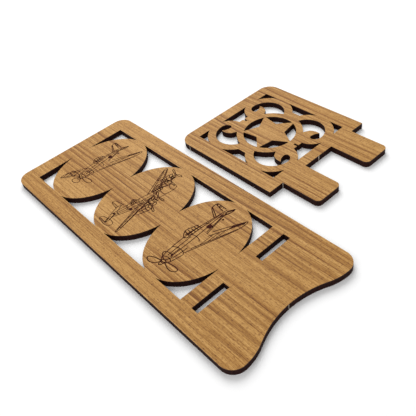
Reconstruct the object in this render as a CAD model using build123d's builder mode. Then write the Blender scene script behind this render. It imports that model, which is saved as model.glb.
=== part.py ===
from build123d import *
import os

# A flat-pack phone stand, taken apart and laid flat on a table: a tall back panel, and
# beside it the leg whose two tabs plug into the panel's two slots from behind.
# Both are cut from one board, a fibreboard core with a wood veneer glued to each side.
# Frame: origin on the table under the middle of the back panel, +X across the panel
# towards the leg, +Y towards the panel's top edge, +Z up out of the face. Millimetres.

# Board
core_thickness = 3.0
veneer_thickness = 0.5

# Back panel: a window filled by a column of ovals, then the slots, then the feet
panel_width = 86.0
side_rail = 10.8
top_rail = 11.2
oval_count = 3
oval_pitch = 48.0
oval_lap = 0.45              # how far an oval runs into a rail, or past a neighbour's edge
slot_drop = 8.0              # bar of board between the window and the slots
foot_length = 35.3           # below the slots, down to the tips of the feet
panel_corner_radius = 8.0
arch_depth = 7.8             # rise of the bottom edge between the feet
arch_share = 0.65            # part of the half span that the hollow arc takes

# Leg: a square body with a fretwork window, and two tabs
leg_width = 84.0
leg_body_length = 81.5
leg_corner_radius = 8.5
leg_side_rail = 10.5
leg_rear_rail = 8.2
leg_front_rail = 7.0
tab_width = 19.4
tab_length = 26.3
tab_spacing = 43.0           # centre to centre, and the same for the slots
tab_corner_radius = 3.2
slot_end_clearance = 0.6     # at each end of a tab in its slot
slot_side_clearance = 0.25   # on each face of a tab in its slot

# Where the leg lies beside the panel
leg_gap = 7.75               # between the panel's side and the leg's side
tab_tip_above_slots = 3.8    # the tips lie almost level with the slots

# Fretwork, drawn for a window of this size and stretched with the leg's own window
fret_width = 63.0
fret_length = 66.3
ring_outer_radius = 21.2
ring_inner_radius = 16.9
star_points = 5
star_tip_radius = 18.1       # past the ring's inner edge, so that each point joins the ring
star_valley_radius = 9.4
scroll_x = 14.8              # centre of a scroll from the middle of the window
scroll_y = 17.3
scroll_outer_radius = 17.5
scroll_inner_radius = 12.2
curl_x = 15.8                # centre of the tighter arc where a scroll turns in
curl_y = 21.9
curl_outer_radius = 12.1     # this arc is the side of the gap on the centre line
curl_inner_radius = 4.5
curl_turn = 12               # degrees above level where the curl's rounded end begins
curl_end_radius = 1.9
tongue_tip = (-3.0, 8.8)     # tongue inside a scroll, from the scroll's centre
tongue_side = (-3.0, 5.4)
tongue_heel = (-1.4, 1.9)
tongue_root = (4.3, -1.4)    # ends inside the ring
waist_x = 25.0               # where the gaps at the two sides end
ledge_y = 23.8               # where the gaps at front and rear end
centre_slit_width = 1.4
slit_overrun = 0.4             # how far the centre slits cut into the ring

# Worked out from the sizes above
board_thickness = core_thickness + 2 * veneer_thickness
slot_length = tab_width + 2 * slot_end_clearance
slot_height = board_thickness + 2 * slot_side_clearance
window_width = panel_width - 2 * side_rail
window_length = oval_count * oval_pitch
panel_length = top_rail + window_length + slot_drop + slot_height + foot_length
panel_top = panel_length / 2
panel_bottom = -panel_length / 2
window_top = panel_top - top_rail
slot_y = window_top - window_length - slot_drop - slot_height / 2
leg_x = panel_width / 2 + leg_gap + leg_width / 2
leg_rear_y = slot_y + tab_tip_above_slots + tab_length + leg_body_length
leg_window_width = leg_width - 2 * leg_side_rail
leg_window_length = leg_body_length - leg_rear_rail - leg_front_rail
leg_window_y = -leg_rear_rail - leg_window_length / 2
stretch_x = leg_window_width / fret_width
stretch_y = leg_window_length / fret_length
shrink = min(stretch_x, stretch_y)


# Back panel outline, the same for its three layers
with BuildSketch() as panel_profile:
    with BuildLine():
        foot_x = panel_width / 2 - panel_corner_radius
        crest = (0, panel_bottom + arch_depth)
        sway = (arch_share * foot_x, panel_bottom + (1 - arch_share) * arch_depth)
        foot = (foot_x, panel_bottom)
        hollow = TangentArc(crest, sway, tangent=(1, 0))
        TangentArc(sway, foot, tangent=hollow % 1)
        side_foot = (panel_width / 2, panel_bottom + panel_corner_radius)
        TangentArc(foot, side_foot, tangent=(1, 0))
        side_head = (panel_width / 2, panel_top - panel_corner_radius)
        Line(side_foot, side_head)
        head = (foot_x, panel_top)
        TangentArc(side_head, head, tangent=(0, 1))
        Line(head, (0, panel_top))
        mirror(about=Plane.YZ)
    make_face()
    with Locations((0, window_top - window_length / 2)):
        Rectangle(window_width, window_length, mode=Mode.SUBTRACT)
    with Locations([(0, window_top - (row + 0.5) * oval_pitch) for row in range(oval_count)]):
        Ellipse(window_width / 2 + oval_lap, oval_pitch / 2 + oval_lap)
    with Locations((-tab_spacing / 2, slot_y), (tab_spacing / 2, slot_y)):
        Rectangle(slot_length, slot_height, mode=Mode.SUBTRACT)


# The fretwork that fills the leg's window, from the middle of the window. A quarter of it
# is drawn left of the centre line and nearest the rear edge, then mirrored both ways.
with BuildSketch() as fretwork:
    with Locations((-scroll_x * stretch_x, scroll_y * stretch_y)):
        Circle(scroll_outer_radius * shrink)
        Rectangle(
            2 * scroll_outer_radius * shrink,
            3 * scroll_outer_radius * shrink,
            align=(Align.MIN, Align.CENTER),
            mode=Mode.SUBTRACT,
        )
    with Locations((-curl_x * stretch_x, curl_y * stretch_y)):
        Circle(curl_outer_radius * shrink)
    Rectangle(waist_x * stretch_x, scroll_y * stretch_y, align=(Align.MAX, Align.MIN))
    Rectangle(scroll_x * stretch_x, ledge_y * stretch_y, align=(Align.MAX, Align.MIN))
    mirror(about=Plane.YZ)
    mirror(about=Plane.XZ)


# Outline of one scroll's opening, from the scroll's centre: a crescent that ends in a
# curled slit beside a tongue. Its lower end runs on into the ring, which cuts it off.
with BuildSketch() as scroll_opening:
    with BuildLine():
        curl_centre = Vector(0, scroll_inner_radius - curl_inner_radius)
        spoke = Vector(1, 0).rotate(Axis.Z, curl_turn)
        curl_stop = curl_centre + spoke * curl_inner_radius
        end_centre = curl_centre + spoke * (curl_inner_radius - curl_end_radius)
        end_stop = end_centre - Vector(0, curl_end_radius)
        crown = (0, scroll_inner_radius)
        low_point = (0, -scroll_inner_radius)
        ThreePointArc(low_point, (-scroll_inner_radius, 0), crown)
        TangentArc(crown, curl_stop, tangent=(1, 0))
        TangentArc(curl_stop, end_stop, tangent=spoke.rotate(Axis.Z, -90))
        TangentArc(end_stop, tongue_tip, tangent=(-1, 0))
        ThreePointArc(tongue_tip, tongue_side, tongue_heel)
        Polyline(tongue_heel, tongue_root, low_point)
    make_face()
    scale(by=shrink)


# The four scroll openings, and the slits between the curls on the centre line
with BuildSketch() as scroll_openings:
    with Locations((-scroll_x * stretch_x, scroll_y * stretch_y)):
        add(scroll_opening.sketch_local)
    Circle(ring_outer_radius * shrink, mode=Mode.SUBTRACT)
    mirror(about=Plane.YZ)
    mirror(about=Plane.XZ)
    slit_start = ring_outer_radius * shrink - slit_overrun
    slit_length = (ledge_y * stretch_y - slit_start) * 2
    with Locations((0, ledge_y * stretch_y), (0, -ledge_y * stretch_y)):
        Rectangle(centre_slit_width, slit_length)


# The openings round the star inside the ring. One of its points is towards the tabs.
with BuildSketch() as star_openings:
    Circle(ring_inner_radius * shrink)
    with BuildLine():
        towards_tabs = Vector(0, -1)
        corners = []
        for point in range(star_points):
            turn = 360 * point / star_points
            half_turn = turn + 180 / star_points
            corners.append(towards_tabs.rotate(Axis.Z, turn) * star_tip_radius * shrink)
            corners.append(towards_tabs.rotate(Axis.Z, half_turn) * star_valley_radius * shrink)
        Polyline(*corners, close=True)
    make_face(mode=Mode.SUBTRACT)


# Leg outline, the same for its three layers, from the middle of the leg's rear edge
with BuildSketch() as leg_profile:
    with Locations((0, -leg_body_length / 2)):
        Rectangle(leg_width, leg_body_length)
    tab_y = -leg_body_length - tab_length / 2
    with Locations((-tab_spacing / 2, tab_y), (tab_spacing / 2, tab_y)):
        Rectangle(tab_width, tab_length)
    fillet(leg_profile.vertices().group_by(Axis.Y)[0], tab_corner_radius)
    fillet(leg_profile.vertices().group_by(Axis.Y)[-1], leg_corner_radius)
    with Locations((0, leg_window_y)):
        Rectangle(leg_window_width, leg_window_length, mode=Mode.SUBTRACT)
        add(fretwork.sketch_local)
        add(scroll_openings.sketch_local, mode=Mode.SUBTRACT)
        add(star_openings.sketch_local, mode=Mode.SUBTRACT)


# Each board is three layers, glued face to face: name, height of its underside, thickness
layers = [
    ("back_veneer", 0, veneer_thickness),
    ("core", veneer_thickness, core_thickness),
    ("face_veneer", veneer_thickness + core_thickness, veneer_thickness),
]
boards = [
    ("panel", panel_profile, (0, 0)),
    ("leg", leg_profile, (leg_x, leg_rear_y)),
]
os.makedirs("parts", exist_ok=True)
for board_name, profile, (board_x, board_y) in boards:
    for layer_name, underside, thickness in layers:
        with BuildPart() as layer:
            with BuildSketch(Plane((board_x, board_y, underside))):
                add(profile.sketch_local)
            extrude(amount=thickness)
        layer.part.label = f"{board_name}_{layer_name}"
        export_step(layer.part, f"parts/{board_name}_{layer_name}.step")

print(f"panel {panel_width:.1f} x {panel_length:.1f}, board {board_thickness:.1f} thick")
print(f"leg {leg_width:.1f} x {leg_body_length + tab_length:.1f}, rear edge at y {leg_rear_y:.2f}")
print(f"slots {slot_length:.1f} x {slot_height:.1f} at y {slot_y:.2f}, leg centre at x {leg_x:.2f}")
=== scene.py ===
# %% [markdown]
# # A flat-pack phone stand in veneered board
# The object is two flat boards, cut by a laser from one sheet: a tall back panel, whose
# window holds a column of three ovals with line drawings of aeroplanes, and a leg with a
# fretwork window and two tabs. Here they lie side by side on a table, as they come out of
# the packet. The CAD model already has every outline, so this script adds what a laser and
# a sheet of veneer give the eye: grain, charred edges, scored drawings and the little
# breaks where the boards were snapped out of their sheet.

# %% Load the frame
import random
from math import atan2, cos, hypot, pi, radians, sin

import bmesh
import bpy
from mathutils import Matrix, Quaternion, Vector


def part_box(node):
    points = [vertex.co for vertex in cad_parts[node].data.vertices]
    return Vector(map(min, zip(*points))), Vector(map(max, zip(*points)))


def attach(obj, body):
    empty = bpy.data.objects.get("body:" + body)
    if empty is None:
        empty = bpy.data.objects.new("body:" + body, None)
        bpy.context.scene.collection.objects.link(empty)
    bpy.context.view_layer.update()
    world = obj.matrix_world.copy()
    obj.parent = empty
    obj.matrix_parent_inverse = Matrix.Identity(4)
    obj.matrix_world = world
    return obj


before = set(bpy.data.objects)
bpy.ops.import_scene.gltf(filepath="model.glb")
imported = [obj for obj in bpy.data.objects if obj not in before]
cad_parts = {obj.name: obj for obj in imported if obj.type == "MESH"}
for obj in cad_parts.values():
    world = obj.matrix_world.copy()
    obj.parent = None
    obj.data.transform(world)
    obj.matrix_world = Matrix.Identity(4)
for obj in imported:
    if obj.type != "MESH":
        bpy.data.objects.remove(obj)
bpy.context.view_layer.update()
print("CAD nodes:", ", ".join(sorted(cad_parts)))


# %% [markdown]
# ## Units, places and colours
# Blender works in metres, but a maker thinks of a board in millimetres. So sizes are
# written as a number times `mm`, and places come from the boxes of the CAD nodes. Colours
# are written as the sRGB hex values that a colour picker shows. Shaders want linear light,
# so one function turns them.

# %% Units, places and colours
mm = 0.001


def linear(hex_colour):
    """The linear colour, with alpha, of an sRGB hex value such as #b98d5f."""
    parts = [int(hex_colour[i:i + 2], 16) / 255 for i in (1, 3, 5)]
    light = [p / 12.92 if p <= 0.04045 else ((p + 0.055) / 1.055) ** 2.4 for p in parts]
    return (*light, 1.0)


panel_low, panel_high = (Vector(corner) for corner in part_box("panel_face_veneer"))
leg_low, leg_high = (Vector(corner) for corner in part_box("leg_face_veneer"))
core_low, core_high = (Vector(corner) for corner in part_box("panel_core"))
face_z = panel_high.z
print(f"board {face_z / mm:.1f} mm thick, panel {(panel_high - panel_low).y / mm:.0f} mm long")


# %% [markdown]
# ## One helper for every node
# Both shaders and Geometry Nodes are trees of nodes. Writing a tree in code is mostly
# "make a node, set its options, plug something into its sockets", so one small function
# does that. A socket gets either a plain value or another node's output.

# %% A node helper
def add_node(tree, kind, inputs=None, **settings):
    """Adds a node, sets its options, then gives each named or numbered socket its value."""
    node = tree.nodes.new(kind)
    for option, value in settings.items():
        setattr(node, option, value)
    for socket, value in (inputs or {}).items():
        if isinstance(value, bpy.types.NodeSocket):
            tree.links.new(value, node.inputs[socket])
        else:
            node.inputs[socket].default_value = value
    return node


# %% [markdown]
# ## The camera
# The view is from low over the panel's left side, with the camera turned a little about
# its own line of sight. `to_track_quat` aims a camera level with the horizon, and one more
# turn about the camera's own Z axis adds that tilt.

# %% The camera
camera_place = Vector((-106.7, -201.5, 209.5)) * mm
camera_aim = Vector((21.7, -12.6, 0.0)) * mm
camera_tilt = radians(-10.94)

camera_data = bpy.data.cameras.new("camera")
camera_data.sensor_width = 36.0
camera_data.lens = 46.9
camera_data.clip_start = 5 * mm
camera = bpy.data.objects.new("camera", camera_data)
bpy.context.scene.collection.objects.link(camera)
level = (camera_aim - camera_place).to_track_quat("-Z", "Y")
turn = level @ Quaternion((0, 0, 1), camera_tilt)
camera.matrix_world = Matrix.Translation(camera_place) @ turn.to_matrix().to_4x4()
bpy.context.scene.camera = camera
print(f"camera {camera_place.length / mm:.0f} mm from the panel's middle")


# %% [markdown]
# ## Floor and light
# The floor is white paper under light so even that it is just short of glare, and all
# that is left of the shadows is a soft grey rim a few millimetres wide, darkest where the
# board touches the paper. A white sky gives the even part. One large lamp, behind the
# object and to its right, gives the rim its depth in front, and a weaker one from the
# left keeps the far sides from looking cut out. A lamp's softness is the angle it fills,
# so both are nearly as wide as they are far away.

# %% Floor and light
floor_mesh = bpy.data.meshes.new("floor")
reach = 3.0
corners = [(-reach, -reach, 0), (reach, -reach, 0), (reach, reach, 0), (-reach, reach, 0)]
floor_mesh.from_pydata(corners, [], [(0, 1, 2, 3)])
floor = bpy.data.objects.new("floor", floor_mesh)
floor.location.z = -0.02 * mm
bpy.context.scene.collection.objects.link(floor)
paper = bpy.data.materials.new("white_paper_sweep")
paper.use_nodes = True
paper_shader = paper.node_tree.nodes["Principled BSDF"]
paper_shader.inputs["Base Color"].default_value = linear("#fdfdfd")
paper_shader.inputs["Roughness"].default_value = 0.9
paper_shader.inputs["Specular IOR Level"].default_value = 0.0
floor_mesh.materials.append(paper)

sky_light = 0.50
world = bpy.data.worlds.new("white_sky")
world.use_nodes = True
world.node_tree.nodes["Background"].inputs["Color"].default_value = (1.0, 1.0, 1.0, 1.0)
world.node_tree.nodes["Background"].inputs["Strength"].default_value = sky_light
bpy.context.scene.world = world


def softbox(name, place, width, floor_light):
    """A round lamp aimed at the object, its place and width in metres. floor_light is how
    bright it makes white paper."""
    place = Vector(place)
    data = bpy.data.lights.new(name, "AREA")
    data.shape = "DISK"
    data.size = width
    data.energy = floor_light * pi ** 2 * place.length ** 3 / place.z
    lamp = bpy.data.objects.new(name, data)
    lamp.location = place
    lamp.rotation_euler = (-place).to_track_quat("-Z", "Y").to_euler()
    bpy.context.scene.collection.objects.link(lamp)
    return lamp


softbox("softbox_behind", (0.40, 0.55, 0.70), 0.80, 0.56)
softbox("softbox_left", (-0.60, -0.10, 0.75), 0.70, 0.17)
bpy.context.scene.view_settings.view_transform = "Standard"
print("floor, sky and two softboxes")


# %% [markdown]
# ## Laser-charred edge
# A laser cuts by burning, so every cut edge of the board is nearly black, a little brown,
# and matt, with fine upright lines left by the pulses of the beam. Those lines depend on
# where they are round the outline and not on the height, so their noise is squeezed
# sideways and drawn out along Z. The glue lines between core and veneers burn a little
# less, and show as two faint lighter lines.

# %% Laser-charred edge
pulse_pitch = 0.45 * mm      # real pulses are finer; this is as fine as the render shows
glue_line = 0.12 * mm


def ramp(tree, value, stops):
    """A colour ramp: stops is a list of (position, colour)."""
    node = add_node(tree, "ShaderNodeValToRGB", {"Fac": value})
    elements = node.color_ramp.elements
    while len(elements) < len(stops):
        elements.new(1.0)
    for element, (position, colour) in zip(elements, stops):
        element.position = position
        element.color = colour
    return node.outputs["Color"]


def blend(tree, amount, first, second, how="MIX"):
    """Mixes two colours; how is the blend mode."""
    node = add_node(
        tree, "ShaderNodeMix", {0: amount, 6: first, 7: second}, data_type="RGBA", blend_type=how
    )
    return node.outputs[2]


def maths(tree, operation, *values):
    """One sum: values are numbers or other nodes' outputs."""
    node = add_node(tree, "ShaderNodeMath", dict(enumerate(values)), operation=operation)
    return node.outputs[0]


def charred_edge(tree, place):
    """Adds the colour of a burnt edge to a shader tree, and returns its colour socket."""
    squeeze = add_node(tree, "ShaderNodeMapping", {"Vector": place, "Scale": (1, 1, 0.05)})
    pulses = add_node(
        tree, "ShaderNodeTexNoise",
        {"Vector": squeeze.outputs["Vector"], "Scale": 1 / pulse_pitch, "Detail": 2.0},
    )
    colour = ramp(
        tree, pulses.outputs["Fac"], [(0.35, linear("#1c0b09")), (0.72, linear("#321511"))]
    )
    height = add_node(tree, "ShaderNodeSeparateXYZ", {"Vector": place}).outputs["Z"]
    for joint_height in (core_low.z, core_high.z):
        near = maths(tree, "COMPARE", height, joint_height, glue_line)
        colour = blend(tree, near, colour, linear("#3d2019"))
    return colour


char = bpy.data.materials.new("laser_charred_fibreboard")
char.use_nodes = True
char_tree = char.node_tree
char_shader = char_tree.nodes["Principled BSDF"]
char_place = add_node(char_tree, "ShaderNodeTexCoord").outputs["Object"]
char_tree.links.new(charred_edge(char_tree, char_place), char_shader.inputs["Base Color"])
char_shader.inputs["Roughness"].default_value = 0.8
char_shader.inputs["Specular IOR Level"].default_value = 0.1
print("material", char.name)


# %% [markdown]
# ## Oak veneer
# Veneer is a slice half a millimetre thick. Where the slice cuts straight through the
# growth rings, each ring is a line along the board: sharp and dark on one side, where
# the year's growth stopped, and fading on the other. A saw-tooth wave has just that shape.
# Its lines are some four millimetres apart, wander a little along the board, and are
# strong in one part of the sheet and faint in another. Over them lie fine fibres and
# pores, the short grooves that catch the light. Each of those is noise, squeezed across
# the grain and drawn out along it, with its own width and length in millimetres.
#
# The veneer's own edges are cut by the laser too, so wherever the surface faces sideways
# the colour turns to char. The object's own normal says which way that is, so it stays
# true when the leg is tipped up.

# %% Grain of an oak veneer
ring_pitch = 4.3 * mm
wave_unit = 2 * pi / 20      # the wave texture's bands are this far apart at scale 1


def grain(tree, place, width, length, detail, seed):
    """Noise drawn out along the grain: width and length are the size of one streak."""
    stretched = add_node(
        tree, "ShaderNodeMapping",
        {"Vector": place, "Location": (seed, seed, 0), "Scale": (1 / width, 1 / length, 1)},
    )
    noise = add_node(
        tree, "ShaderNodeTexNoise",
        {"Vector": stretched.outputs["Vector"], "Scale": 1.0, "Detail": detail,
         "Roughness": 0.55},
    )
    return noise.outputs["Fac"]


def growth_rings(tree, place, pitch, wander, seed):
    """A saw-tooth wave across the board, one tooth to each ring."""
    across = add_node(tree, "ShaderNodeSeparateXYZ", {"Vector": place}).outputs["X"]
    drift = grain(tree, place, 22 * mm, 260 * mm, 1.0, seed)
    jitter = grain(tree, place, 5 * mm, 120 * mm, 1.0, seed + 5)
    moved = maths(tree, "MULTIPLY_ADD", drift, wander, across)
    moved = maths(tree, "MULTIPLY_ADD", jitter, wander * 0.35, moved)
    line_up = add_node(tree, "ShaderNodeCombineXYZ", {"X": moved})
    wave = add_node(
        tree, "ShaderNodeTexWave",
        {"Vector": line_up.outputs["Vector"], "Scale": wave_unit / pitch},
        wave_type="BANDS", bands_direction="X", wave_profile="SAW",
    )
    return wave.outputs["Fac"]


def oak_veneer(name, seed):
    material = bpy.data.materials.new(name)
    material.use_nodes = True
    tree = material.node_tree
    shader = tree.nodes["Principled BSDF"]
    coordinates = add_node(tree, "ShaderNodeTexCoord")
    place = coordinates.outputs["Object"]
    white = linear("#ffffff")

    tone = grain(tree, place, 16 * mm, 300 * mm, 2.0, seed)
    wood = ramp(tree, tone, [(0.30, linear("#c29350")), (0.70, linear("#cda05f"))])

    rings = growth_rings(tree, place, ring_pitch, 14 * mm, seed + 40)
    ring_dark = ramp(
        tree, rings,
        [(0.0, linear("#e0d2b0")), (0.06, linear("#b1944f")), (0.24, linear("#dccda4")), (0.62, white)],
    )
    fine_rings = growth_rings(tree, place, ring_pitch * 0.46, 9 * mm, seed + 90)
    fine_dark = ramp(
        tree, fine_rings,
        [(0.0, linear("#efe6cf")), (0.10, linear("#d2bf8c")), (0.50, white)],
    )
    ring_dark = blend(tree, 0.75, ring_dark, fine_dark, "MULTIPLY")
    strength = grain(tree, place, 11 * mm, 150 * mm, 1.0, seed + 60)
    strength = maths(tree, "MULTIPLY_ADD", strength, 3.2, -1.0)
    strength = maths(tree, "MINIMUM", maths(tree, "MAXIMUM", strength, 0.1), 1.0)
    wood = blend(tree, strength, wood, blend(tree, 1.0, wood, ring_dark, "MULTIPLY"))

    streaks = grain(tree, place, 0.7 * mm, 130 * mm, 2.0, seed + 10)
    streak_dark = ramp(tree, streaks, [(0.34, linear("#cfbe8c")), (0.50, white)])
    wood = blend(tree, 0.85, wood, streak_dark, "MULTIPLY")

    fibres = grain(tree, place, 0.35 * mm, 7 * mm, 2.0, seed + 20)
    fine = ramp(tree, fibres, [(0.3, linear("#cab783")), (0.62, white)])
    wood = blend(tree, 0.8, wood, fine, "MULTIPLY")

    pores = grain(tree, place, 0.2 * mm, 1.6 * mm, 0.0, seed + 30)
    groove = ramp(tree, pores, [(0.30, linear("#946c36")), (0.42, white)])
    wood = blend(tree, 0.7, wood, groove, "MULTIPLY")

    facing = add_node(tree, "ShaderNodeSeparateXYZ", {"Vector": coordinates.outputs["Normal"]})
    upright = maths(tree, "ABSOLUTE", facing.outputs["Z"])
    is_edge = maths(tree, "LESS_THAN", upright, 0.5)
    colour = blend(tree, is_edge, wood, charred_edge(tree, place))
    tree.links.new(colour, shader.inputs["Base Color"])

    relief = maths(tree, "ADD", fibres, pores)
    bump = add_node(
        tree, "ShaderNodeBump",
        {"Height": relief, "Strength": 0.25, "Distance": 0.05 * mm},
    )
    tree.links.new(bump.outputs["Normal"], shader.inputs["Normal"])
    shader.inputs["Roughness"].default_value = 0.55
    shader.inputs["Specular IOR Level"].default_value = 0.2
    return material


face_oak = oak_veneer("oak_veneer_face", 3.0)
back_oak = oak_veneer("oak_veneer_back", 47.0)
finishes = {
    "panel_face_veneer": face_oak, "leg_face_veneer": face_oak,
    "panel_back_veneer": back_oak, "leg_back_veneer": back_oak,
    "panel_core": char, "leg_core": char,
}
for node_name, material in finishes.items():
    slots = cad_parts[node_name].data.materials
    slots.clear()
    slots.append(material)
print("veneer and char on", len(finishes), "CAD nodes")


# %% [markdown]
# ## Scored line drawings
# Each oval carries a drawing of a propeller aeroplane, scored with the laser at low power:
# it only chars the skin of the veneer, in a line about half a millimetre wide. A drawing is
# a list of strokes in millimetres from the middle of its oval: `bend` is a soft curve near
# its points, `line` joins its points with straight runs, and `loop` is a closed soft curve.
# The laser lingers where strokes crowd, so `weighted` makes some strokes firmer and others
# fainter.

# %% Kinds of stroke
def bend(*points):
    return {"points": points, "soft": True, "closed": False, "weight": 1.0}


def line(*points):
    return {"points": points, "soft": False, "closed": False, "weight": 1.0}


def loop(*points):
    return {"points": points, "soft": True, "closed": True, "weight": 1.0}


def weighted(weight, strokes):
    for stroke in strokes:
        stroke["weight"] = weight
    return strokes


print("strokes: bend, line and loop")


# %% [markdown]
# ### A plain aeroplane, described in space
# The aeroplanes are generic: a round fuselage, tapered wings, a fin and a propeller, with
# the proportions of no particular type. They are described in three directions, forward,
# sideways and up, and a `View` says where each direction points on the oval. That is how a
# draughtsman draws an object at a slant: measure along each slanted axis and add. The
# sideways direction comes towards the viewer, so that side of the aeroplane is drawn.
# Every place below is (forward, sideways, up) in millimetres, before the slant.

# %% A slanted view
class View:
    """Where the aeroplane's middle and its three directions fall on the oval."""

    def __init__(self, middle, forward, side, up):
        self.middle = Vector(middle)
        self.forward = Vector(forward)
        self.side = Vector(side)
        self.up = Vector(up)
        across = Vector((-self.forward.y, self.forward.x)).normalized()
        self.across = across if across.dot(self.up) > 0 else -across

    def at(self, x, y, z):
        return self.middle + self.forward * x + self.side * y + self.up * z


print("a view has a forward, a sideways and an up direction")


# %% [markdown]
# A fuselage is a row of stations from nose to tail. Each station is a place along it, a
# half width, a half height and the height of its middle. A round section seen at a slant
# is an ellipse, and its outline is where that ellipse reaches furthest across the line of
# the fuselage, which a square root of two squares gives. Joints and seams are drawn only
# on the near half.

# %% Fuselages
def fuselage(view, stations, hidden=(0.0, 0.0), y=0.0):
    """Both outlines of a round body. The lower one has no stroke between the two places in
    hidden, where the wing covers it."""
    upper, lower_front, lower_back = [], [], []
    for x, wide, tall, z in stations:
        reach = hypot(wide * view.across.dot(view.side), tall * view.across.dot(view.up))
        centre = view.at(x, y, z)
        upper.append(centre + view.across * reach)
        if x >= hidden[0]:
            lower_front.append(centre - view.across * reach)
        if x <= hidden[1]:
            lower_back.append(centre - view.across * reach)
    return [bend(*upper)] + [bend(*part) for part in (lower_front, lower_back) if len(part) > 1]


def girth(stations, x):
    """The half width, half height and middle height of a body, anywhere along it."""
    for ahead, behind in zip(stations, stations[1:]):
        if ahead[0] >= x >= behind[0]:
            share = (ahead[0] - x) / (ahead[0] - behind[0])
            return [a + (b - a) * share for a, b in zip(ahead[1:], behind[1:])]


def hoop(view, stations, x, y=0.0):
    """A joint round the near half of a body."""
    wide, tall, z = girth(stations, x)
    start = atan2(tall * view.across.dot(view.up), wide * view.across.dot(view.side))
    points = []
    for step in range(7):
        angle = start - pi * step / 6
        points.append(view.at(x, y + wide * cos(angle), z + tall * sin(angle)))
    return bend(*points)


def seam(view, stations, degrees, first, last):
    """A line along the near side of a body, at an angle above its middle."""
    points = []
    for step in range(5):
        x = first + (last - first) * step / 4
        wide, tall, z = girth(stations, x)
        up = z + tall * sin(radians(degrees))
        points.append(view.at(x, wide * cos(radians(degrees)), up))
    return bend(*points)


print("a fuselage has outlines, hoops and seams")


# %% [markdown]
# A wing, a fin or a tailplane is a flat shape with four corners, given by the front of its
# root, the front of its tip, and how deep it is from front to back at each. Everything on
# it is placed by two shares: how far along to the tip, and how far back.

# %% Wings and fins
def spot(corners, along, back):
    """A place on a wing or fin: shares of the way to its tip and to its back edge."""
    root_front, tip_front, tip_back, root_back = corners
    front = root_front.lerp(tip_front, along)
    return front.lerp(root_back.lerp(tip_back, along), back)


def outline(corners):
    places = ((0, 0), (0.5, 0), (0.93, 0), (1.02, 0.3), (1.02, 0.75), (0.93, 1), (0.5, 1), (0, 1))
    return bend(*[spot(corners, along, back) for along, back in places])


def wing(view, root, tip, chords, first=0.0):
    """A tapered wing's corners, and its outline, spar, flap line and aileron sides.

    first is the share of the span where the drawing starts, for a wing that is partly hidden.
    """
    corners = [
        view.at(*root), view.at(*tip),
        view.at(tip[0] - chords[1], *tip[1:]), view.at(root[0] - chords[0], *root[1:]),
    ]
    start_front, start_back = spot(corners, first, 0), spot(corners, first, 1)
    corners = [start_front, corners[1], corners[2], start_back]
    lines = [
        line(spot(corners, 0.04, 0.16), spot(corners, 0.96, 0.16)),
        line(spot(corners, 0.06, 0.74), spot(corners, 0.95, 0.74)),
        line(spot(corners, 0.56, 0.74), spot(corners, 0.56, 1)),
        line(spot(corners, 0.9, 0.74), spot(corners, 0.9, 1)),
    ]
    return corners, [outline(corners)] + lines


def ribs(corners, first, last, count, front, back):
    """Evenly spaced strokes across a wing, each from one share of its depth to another."""
    made = []
    for step in range(count):
        along = first + (last - first) * step / (count - 1)
        made.append(line(spot(corners, along, front), spot(corners, along, back)))
    return made


print("a wing has an outline, a spar, a flap line, an aileron and ribs")


# %% [markdown]
# A propeller's blade is one leaf, described once and turned round the hub. The canopy
# stands on top of the fuselage, with upright frames between its ridge and its sill.

# %% Propellers and canopies
def propeller(view, place, radius, blades, turn, breadth=0.18):
    """Leaf-shaped blades round a hub, in the plane across the aeroplane."""
    x, y, z = place
    leaf = ((0.16, -0.05), (0.5, -0.9 * breadth), (0.85, -breadth))
    leaf += ((1.0, -0.6 * breadth), (1.04, 0.0))
    leaf += tuple((out, -over) for out, over in leaf[3::-1])
    strokes = []
    for blade in range(blades):
        angle = radians(turn + 360 * blade / blades)
        points = []
        for out, over in leaf:
            side = radius * (out * cos(angle) - over * sin(angle))
            up = radius * (out * sin(angle) + over * cos(angle))
            points.append(view.at(x, y + side, z + up))
        strokes.append(bend(*points))
    hub = []
    for step in range(8):
        angle = step * pi / 4
        hub.append(view.at(x, y + 0.14 * radius * cos(angle), z + 0.14 * radius * sin(angle)))
    return strokes + [loop(*hub)]


def canopy(view, stations, front, back, rise, panes):
    """Glass over the cockpit: a ridge, a sill on the near side, and frames between."""
    wide, tall, z = girth(stations, front)
    length = front - back
    crown = z + tall
    ridge = [
        view.at(front, 0, crown), view.at(front - 0.16 * length, 0, crown + rise),
        view.at(front - 0.5 * length, 0, crown + 1.2 * rise),
        view.at(back, 0, crown + 0.3 * rise),
    ]
    sill_front = view.at(front, 0.5 * wide, crown - 0.25 * tall)
    sill_back = view.at(back, 0.5 * wide, crown - 0.3 * tall)
    strokes = [bend(*ridge), line(sill_front, sill_back), line(ridge[0], sill_front)]
    for pane in range(panes):
        share = (pane + 0.8) / (panes + 0.4)
        top = ridge[1].lerp(ridge[3], share) + view.up * 0.15 * rise * (1 - share)
        strokes.append(line(top, sill_front.lerp(sill_back, share)))
    middle_front = sill_front.lerp(ridge[1], 0.55)
    strokes.append(line(middle_front, sill_back.lerp(ridge[3], 0.5)))
    return strokes


print("a propeller has blades and a hub, a canopy has panes")


# %% [markdown]
# ### The top and bottom ovals: two small aeroplanes
# Both are low-winged single-seaters with the nose at the left. The top one banks, so its
# far wing shows behind the propeller; the bottom one is nearer, so its lines are firmer.

# %% Small aeroplanes
small_body = (
    (29, 0.0, 0.0, 0.0), (28, 1.6, 1.9, 0.0), (24, 2.9, 3.5, 0.0), (16, 3.6, 4.5, 0.0),
    (6, 3.6, 4.7, 0.3), (-6, 2.9, 3.7, 0.9), (-18, 1.6, 2.2, 1.4), (-30, 0.2, 0.5, 1.8),
)


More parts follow.
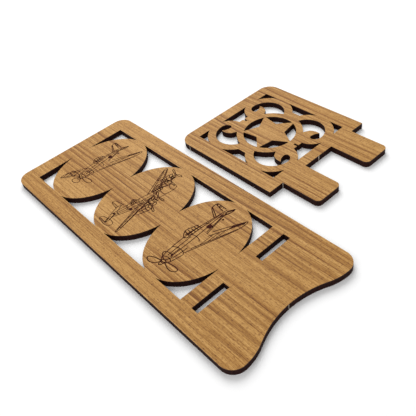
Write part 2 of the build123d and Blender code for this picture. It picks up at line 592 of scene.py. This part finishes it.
def small_aeroplane(view, blades, turn, reach, far_wing):
    """A low-winged aeroplane: its strokes and its solid marks."""
    body = fuselage(view, small_body, (12, -5))
    body += [hoop(view, small_body, x) for x in (25, 16, 2, -12)]
    body += [seam(view, small_body, 38, 24, 4), seam(view, small_body, 8, 24, -8)]
    body += [seam(view, small_body, -22, 24, 12), seam(view, small_body, 15, -8, -26)]
    body += [seam(view, small_body, 50, -3, -24), seam(view, small_body, -30, -6, -22)]
    stacks = ribs(
        [view.at(23, 3.2, 1.4), view.at(17, 3.4, 1.6), view.at(17, 3.4, 0.2), view.at(23, 3.2, 0.2)],
        0, 1, 6, 0, 1,
    )
    near, near_lines = wing(view, (16, 3.0, -3.2), (9, reach, -0.6), (24, 11))
    plates = ribs(near, 0.2, 0.5, 3, 0.16, 0.74)
    aileron = ribs(near, 0.6, 0.86, 5, 0.78, 0.97)
    strokes = weighted(0.85, body + near_lines) + weighted(0.6, plates)
    strokes += weighted(1.1, stacks + aileron)
    if far_wing:
        far, far_lines = wing(view, (16, -3.0, -3.2), (9, -reach * 0.86, -0.6), (22, 10), 0.45)
        strokes += weighted(0.85, far_lines + ribs(far, 0.2, 0.85, 4, 0.16, 0.74))
    _, tail_lines = wing(view, (-20, 1.2, 2.0), (-22, 11, 2.2), (8, 5))
    fin, fin_lines = wing(view, (-19, 0, 3.2), (-24, 0, 11.0), (11, 6))
    rudder = ribs(fin, 0.25, 0.85, 4, 0.7, 1.0)
    strokes += weighted(1.0, canopy(view, small_body, 6, -8, 3.0, 5) + tail_lines + fin_lines)
    blades_round = propeller(view, (27, 0, 0), 10.5, blades, turn, 0.30)
    cone = ((27, 0, 1.5), (31, 0, 1.0), (31, 0, -1.0), (27, 0, -1.5))
    spinner = bend(*[view.at(*place) for place in cone])
    strokes += weighted(0.65, rudder) + weighted(0.95, blades_round + [spinner])
    disc = view.at(-10, 2.4, 1.0)
    wheel = view.at(-22, 0, -1.6)
    return strokes, [(disc, 1.45), (wheel, 0.7), (view.at(3.5, 1.5, 5.4), 0.6)]


def top_drawing():
    view = View((2.4, 3.0), (-0.61, -0.05), (0.56, -0.26), (0.06, 0.86))
    return small_aeroplane(view, 4, 20, 44, True)


def bottom_drawing():
    view = View((0.2, 1.6), (-0.83, 0.0), (0.56, -0.28), (0.04, 0.96))
    strokes, marks = small_aeroplane(view, 3, 30, 46, False)
    for stroke in strokes:
        stroke["weight"] *= 1.2
    return strokes, marks


print("top oval:", len(top_drawing()[0]), "strokes;", "bottom oval:", len(bottom_drawing()[0]))


# %% [markdown]
# ### The middle oval: a large aeroplane with four engines
# It is seen from behind, with its tail at the left. The tailplane carries two upright
# fins, and each wing has two engines, the densest part of all three drawings.

# %% Large aeroplane
large_body = (
    (30, 0.4, 0.6, -0.6), (28, 2.4, 2.6, -0.5), (20, 3.2, 3.6, 0.0), (6, 3.2, 3.6, 0.0),
    (-10, 2.9, 3.2, 0.3), (-24, 1.9, 2.2, 0.9), (-34, 0.9, 1.2, 1.3),
)


def engine(view, y, z, turn):
    """A round engine casing ahead of the wing, with its propeller."""
    casing = ((19, 1.9, 1.9, z), (17, 2.4, 2.4, z), (12, 2.3, 2.3, z), (5, 1.2, 1.2, z))
    strokes = fuselage(view, casing, y=y)
    strokes += [hoop(view, casing, x, y) for x in (18.5, 16, 12.5)]
    strokes += [line(view.at(18, y + 1.2, z + 0.6), view.at(9, y + 1.2, z + 0.8))]
    return strokes + propeller(view, (20, y, z), 5.4, 3, turn)


def middle_drawing():
    view = View((0.5, -0.8), (0.66, -0.11), (-0.62, -0.25), (0.02, 0.94))
    body = fuselage(view, large_body)
    body += [hoop(view, large_body, x) for x in (26, 18, -4, -16, -26)]
    body += [seam(view, large_body, 35, 18, -30), seam(view, large_body, 0, -2, -30)]
    near, near_lines = wing(view, (15, 2.8, 2.2), (4, 45, 3.6), (14, 5))
    far, far_lines = wing(view, (15, -2.8, 2.2), (4, -39, 3.6), (14, 5))
    plates = ribs(near, 0.1, 0.9, 6, 0.16, 0.74) + ribs(far, 0.08, 0.92, 9, 0.0, 0.74)
    _, tail_lines = wing(view, (-27, 1.0, 2.2), (-28, 10, 2.4), (7, 5))
    _, off_lines = wing(view, (-27, -1.0, 2.2), (-28, -10, 2.4), (7, 5))
    fins = []
    for y in (10, -10):
        _, up_lines = wing(view, (-27, y, 1.6), (-29, y, 8.6), (7, 4))
        _, down_lines = wing(view, (-27, y, 1.6), (-28, y, -2.0), (7, 5))
        fins += [up_lines[0], up_lines[2]] + down_lines[:1] * (y > 0)
    engines = []
    for y, turn in ((12, 20), (23, 75), (-11, 50), (-20, 5)):
        engines += engine(view, y, 1.2, turn)
    glass = canopy(view, large_body, 20, 10, 2.2, 4) + canopy(view, large_body, -6, -12, 2.0, 3)
    strokes = weighted(0.8, body + tail_lines + fins + off_lines[:1]) + weighted(0.65, plates)
    strokes += weighted(0.9, near_lines + far_lines) + weighted(1.0, glass + engines)
    return strokes, [(view.at(-14, 2.8, -0.2), 1.05), (view.at(-30, 0, 2.0), 0.7)]


print("middle oval:", len(middle_drawing()[0]), "strokes")


# %% [markdown]
# ## From strokes to a burnt line
# Each drawing becomes a curve object with one spline for each stroke. A small Geometry
# Nodes tree sweeps a flat strip along every spline, so one pair of inputs sets the width
# and the thickness of every line, and a point's radius makes it firmer or fainter. The
# strip stands about a hundredth of a millimetre proud of the veneer, enough to keep the
# two surfaces apart and far too little to see.

# %% Scored lines as a Geometry Nodes tree
score_width = 0.50 * mm
score_proud = 0.012 * mm
score_depth = 0.03 * mm


def group_input(tree, name, kind, value=None):
    """Adds a named input to a Geometry Nodes tree and returns its identifier."""
    socket = tree.interface.new_socket(name, in_out="INPUT", socket_type=kind)
    if value is not None:
        socket.default_value = value
    return socket.identifier


def scoring_tree():
    """Curve in, flat burnt strips out."""
    tree = bpy.data.node_groups.new("score_along_curve", "GeometryNodeTree")
    inputs = {
        "curve": group_input(tree, "Geometry", "NodeSocketGeometry"),
        "width": group_input(tree, "Line width", "NodeSocketFloat", score_width),
        "depth": group_input(tree, "Line depth", "NodeSocketFloat", score_depth),
        "material": group_input(tree, "Material", "NodeSocketMaterial"),
    }
    tree.interface.new_socket("Geometry", in_out="OUTPUT", socket_type="NodeSocketGeometry")
    given = add_node(tree, "NodeGroupInput")
    strip = add_node(
        tree, "GeometryNodeCurvePrimitiveQuadrilateral",
        {"Width": given.outputs["Line width"], "Height": given.outputs["Line depth"]},
    )
    flat = add_node(
        tree, "GeometryNodeSetCurveNormal", {"Curve": given.outputs["Geometry"]}, mode="Z_UP"
    )
    swept = add_node(
        tree, "GeometryNodeCurveToMesh",
        {"Curve": flat.outputs["Curve"], "Profile Curve": strip.outputs["Curve"],
         "Scale": add_node(tree, "GeometryNodeInputRadius").outputs["Radius"],
         "Fill Caps": True},
    )
    real = add_node(tree, "GeometryNodeRealizeInstances", {"Geometry": swept.outputs["Mesh"]})
    burnt = add_node(
        tree, "GeometryNodeSetMaterial",
        {"Geometry": real.outputs["Geometry"], "Material": given.outputs["Material"]},
    )
    add_node(tree, "NodeGroupOutput", {"Geometry": burnt.outputs["Geometry"]})
    return tree, inputs


scored = bpy.data.materials.new("laser_scored_veneer")
scored.use_nodes = True
scored_tree = scored.node_tree
scored_shader = scored_tree.nodes["Principled BSDF"]
scored_place = add_node(scored_tree, "ShaderNodeTexCoord").outputs["Object"]
bite = grain(scored_tree, scored_place, 2.5 * mm, 4 * mm, 2.0, 80.0)
scored_colour = ramp(
    scored_tree, bite,
    [(0.35, linear("#280d0b")), (0.62, linear("#421b15"))],
)
scored_tree.links.new(scored_colour, scored_shader.inputs["Base Color"])
scored_shader.inputs["Roughness"].default_value = 0.8
scored_shader.inputs["Specular IOR Level"].default_value = 0.05
score_group, score_inputs = scoring_tree()
print("scored line", score_width / mm, "mm wide")


# %% [markdown]
# The curve is drawn straight at its place on the face: the ovals' centres come from the
# height of the window, which the CAD model splits into equal parts. `new_from_object`
# turns the evaluated result into a plain mesh, and the curve with its modifier is thrown
# away. A drawing's few solid marks are filled discs, added to that mesh afterwards.

# %% Draw on the three ovals
oval_pitch = 48 * mm         # one oval below the next
top_rail = 11.2 * mm         # from the panel's top edge to the window


def stroke_curve(name, strokes, centre):
    curve = bpy.data.curves.new(name, "CURVE")
    curve.dimensions = "3D"
    for stroke in strokes:
        soft = stroke["soft"]
        spline = curve.splines.new("NURBS" if soft else "POLY")
        spline.points.add(len(stroke["points"]) - 1)
        for point, (x, y) in zip(spline.points, stroke["points"]):
            point.co = (*(centre + Vector((x, y, 0)) * mm), 1.0)
            point.radius = stroke["weight"]
        spline.use_cyclic_u = stroke["closed"]
        if soft:
            spline.order_u = 3
            spline.use_endpoint_u = not stroke["closed"]
            spline.resolution_u = 4
    return bpy.data.objects.new(name, curve)


def plain_mesh(source, name):
    """The evaluated result of an object as a plain mesh object, in place of the object."""
    bpy.context.view_layer.update()
    evaluated = source.evaluated_get(bpy.context.evaluated_depsgraph_get())
    mesh = bpy.data.meshes.new_from_object(evaluated)
    bpy.data.objects.remove(source)
    mesh.name = name
    piece = bpy.data.objects.new(name, mesh)
    bpy.context.scene.collection.objects.link(piece)
    return piece


def solid_marks(mesh, marks, centre):
    """Adds the filled discs of a drawing to its mesh."""
    built = bmesh.new()
    built.from_mesh(mesh)
    for (x, y), radius in marks:
        place = Matrix.Translation(centre + Vector((x, y, 0)) * mm)
        bmesh.ops.create_circle(
            built, cap_ends=True, segments=24, radius=radius * mm, matrix=place
        )
    built.to_mesh(mesh)
    built.free()


drawings = (top_drawing, middle_drawing, bottom_drawing)
for row, drawing in enumerate(drawings):
    middle_y = panel_high.y - top_rail - (row + 0.5) * oval_pitch
    line_z = face_z + score_proud - score_depth / 2
    centre = Vector((0, middle_y, line_z))
    strokes, marks = drawing()
    name = drawing.__name__.replace("drawing", "oval_scoring")
    source = stroke_curve(name, strokes, centre)
    bpy.context.scene.collection.objects.link(source)
    modifier = source.modifiers.new("score", "NODES")
    modifier.node_group = score_group
    modifier[score_inputs["width"]] = score_width
    modifier[score_inputs["depth"]] = score_depth
    modifier[score_inputs["material"]] = scored
    piece = plain_mesh(source, name)
    solid_marks(piece.data, marks, centre + Vector((0, 0, score_depth / 2)))
    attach(piece, "back_panel")
    print(name, len(strokes), "strokes,", len(piece.data.polygons), "faces")


# %% [markdown]
# ## Snapped bridges
# The laser leaves a few hair-thin bridges, so that the boards don't fall out of their
# sheet while it cuts. Pushing a board out snaps them, and each leaves a torn, unburnt spot
# on the dark edge: one on the crest of the panel's arch and three round the leg. The spots'
# pale colour is partly the unburnt fibre and partly painted highlight: it is made paler than
# raw fibre so that they show bright on walls that the lamps barely reach. A spot is
# a thin rib as tall as the board, rougher and wider at some heights than at others. It is
# built level by level, four corners to a level, and the levels are joined by a skin.

# %% Snapped bridges
bridge_width = 0.65 * mm
bridge_proud = 0.22 * mm
bridge_root = 0.30 * mm
bridge_levels = 9

# Material of the torn spots: unburnt fibre, with painted highlight in its colour.
torn = bpy.data.materials.new("torn_fibreboard_painted_highlight")
torn.use_nodes = True
torn_tree = torn.node_tree
torn_shader = torn_tree.nodes["Principled BSDF"]
torn_place = add_node(torn_tree, "ShaderNodeTexCoord").outputs["Object"]
fluff = add_node(
    torn_tree, "ShaderNodeTexNoise", {"Vector": torn_place, "Scale": 1 / (0.4 * mm), "Detail": 2.0}
)
# Pale fibre pushed paler still: partly unburnt fibre, partly painted highlight standing in for light on
# walls the lamps barely reach.
torn_fibre_and_painted_highlight = ramp(
    torn_tree, fluff.outputs["Fac"], [(0.35, linear("#b3a28f")), (0.65, linear("#ebe2d6"))]
)
torn_tree.links.new(torn_fibre_and_painted_highlight, torn_shader.inputs["Base Color"])
torn_shader.inputs["Roughness"].default_value = 0.9
torn_shader.inputs["Specular IOR Level"].default_value = 0.1


def snapped_bridge(name, foot, outward, body, share=1.0):
    """A torn rib on a wall, at the place foot; share is how much of its width was left."""
    chance = random.Random(name)
    outward = Vector(outward).normalized()
    along = Vector((-outward.y, outward.x, 0))
    built = bmesh.new()
    levels = []
    for level in range(bridge_levels):
        height = face_z * (0.02 + 0.96 * level / (bridge_levels - 1))
        half = share * bridge_width * chance.uniform(0.35, 0.6)
        proud = bridge_proud * chance.uniform(0.4, 1.0)
        middle = Vector((foot[0], foot[1], height))
        corners = [
            middle - outward * bridge_root - along * half,
            middle + outward * proud - along * half * 0.6,
            middle + outward * proud * chance.uniform(0.6, 1.0) + along * half * 0.6,
            middle - outward * bridge_root + along * half,
        ]
        levels.append([built.verts.new(corner) for corner in corners])
    for lower, upper in zip(levels, levels[1:]):
        for side in range(4):
            turn = (side + 1) % 4
            built.faces.new((lower[side], lower[turn], upper[turn], upper[side]))
    built.faces.new(reversed(levels[0]))
    built.faces.new(levels[-1])
    bmesh.ops.recalc_face_normals(built, faces=built.faces)
    mesh = bpy.data.meshes.new(name)
    built.to_mesh(mesh)
    built.free()
    mesh.materials.append(torn)
    piece = bpy.data.objects.new(name, mesh)
    bpy.context.scene.collection.objects.link(piece)
    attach(piece, body)


arch_depth = 7.8 * mm
leg_body_length = 81.5 * mm  # from the leg's rear edge to the root of its tabs
tab_reach = 31.2 * mm        # from the leg's middle to the outer side of a tab
side_break = 10.6 * mm       # from the leg's rear edge to the break on its side
arch_aside = 0.4 * mm        # a bridge is never quite in the middle
front_aside = 0.25 * mm

leg_middle = (leg_low.x + leg_high.x) / 2
arch_crest = (arch_aside, panel_low.y + arch_depth)
shoulder = leg_high.y - leg_body_length
snapped_bridge("panel_arch_bridge", arch_crest, (0, -1, 0), "back_panel", 0.55)
snapped_bridge("leg_side_bridge", (leg_low.x, leg_high.y - side_break), (-1, 0, 0), "leg", 0.6)
snapped_bridge("leg_shoulder_bridge", (leg_middle - tab_reach, shoulder), (-1, -1, 0), "leg")
snapped_bridge("leg_front_bridge", (leg_middle + front_aside, shoulder), (0, -1, 0), "leg")
print("four snapped bridges")
